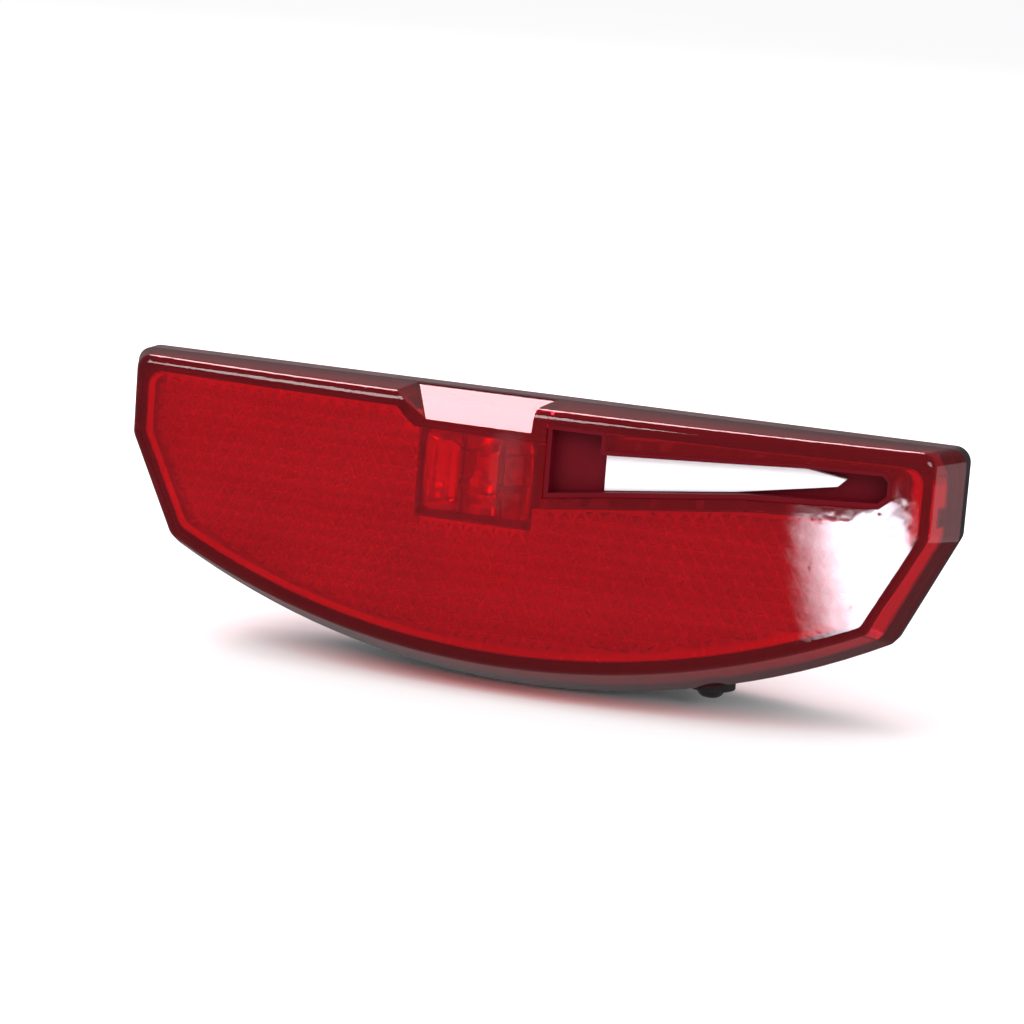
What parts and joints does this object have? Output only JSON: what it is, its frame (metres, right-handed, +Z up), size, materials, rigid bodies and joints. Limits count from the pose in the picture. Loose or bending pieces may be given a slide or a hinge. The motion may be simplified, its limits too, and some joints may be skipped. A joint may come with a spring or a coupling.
{
  "type": "tail light",
  "caption": "Battery tail light for a luggage rack: wide D-shaped red lens on a black housing with side window, push button and rear mounting studs.",
  "frame": {"origin": "centre of the rear mounting face, half way between the two studs", "axes": "+Y out of the back along the studs towards the rack, -Y rearward through the lens, +X to the viewer's right facing the lens, +Z up"},
  "size_m": [0.12, 0.0502, 0.0406],
  "materials": {
    "red_lens": "polished transparent red",
    "opal_white": "opal, glossy",
    "black_gloss": "dark, satin",
    "red_prismatic": "moulded cube-corner relief",
    "red_optic": "polished, fluted",
    "black_housing": "fine moulded grain",
    "grey_plastic": "moulded",
    "button_black": "satin",
    "switch_plastic": "moulded",
    "black_rubber": "matte",
    "zinc_steel": "zinc plated",
    "spring_steel": "drawn wire",
    "nickel_contact": "nickel plated",
    "cell_jacket": "plain printed film",
    "board_green": "solder mask",
    "led_package": "moulded with clear dome",
    "chip_black": "moulded",
    "can_aluminium": "satin can",
    "bright_reflector": "metallised",
    "lead_red": "insulation",
    "lead_black": "insulation"
  },
  "bodies": {
    "housing": {"lens": "red_lens", "sensor_bezel": "black_gloss", "sensor_window": "opal_white", "retroreflector_panel": "red_prismatic", "base_housing": "black_housing", "lens_gasket": "black_rubber", "mounting_pad": "black_rubber", "mounting_studs": "zinc_steel", "lens_screws": "zinc_steel", "battery_cradle": "grey_plastic", "battery_cells": "cell_jacket", "bridge_contact": "nickel_contact", "terminal_plates": "nickel_contact", "battery_springs": "nickel_contact", "circuit_board": "board_green", "pcb_screws": "zinc_steel", "main_led": "led_package", "side_leds": "led_package", "indicator_led": "led_package", "light_sensor": "chip_black", "driver_chip": "chip_black", "chip_resistors": "chip_black", "capacitor": "can_aluminium", "led_reflector": "bright_reflector", "centre_optic": "red_optic", "button_spring": "spring_steel", "switch_body": "switch_plastic", "lead_red": "lead_red", "lead_black": "lead_black"},
    "button": {"push_button": "button_black", "button_seal": "black_rubber", "button_clip": "spring_steel"},
    "plunger": {"switch_plunger": "button_black"}
  },
  "joints": [
    {"name": "button_press", "type": "slide", "parent": "housing", "child": "button", "axis": [0, 0, 1], "range_m": [0, 0.0012], "stiffness_N_per_m": 300, "springref_m": -0.0012, "deforming": ["button_spring"]},
    {"name": "plunger_press", "type": "slide", "parent": "housing", "child": "plunger", "axis": [0, 0, 1], "range_m": [0, 0.0014]}
  ],
  "couplings": [
    {"joint": "plunger_press", "follows": "button_press", "ratio": 1}
  ]
}
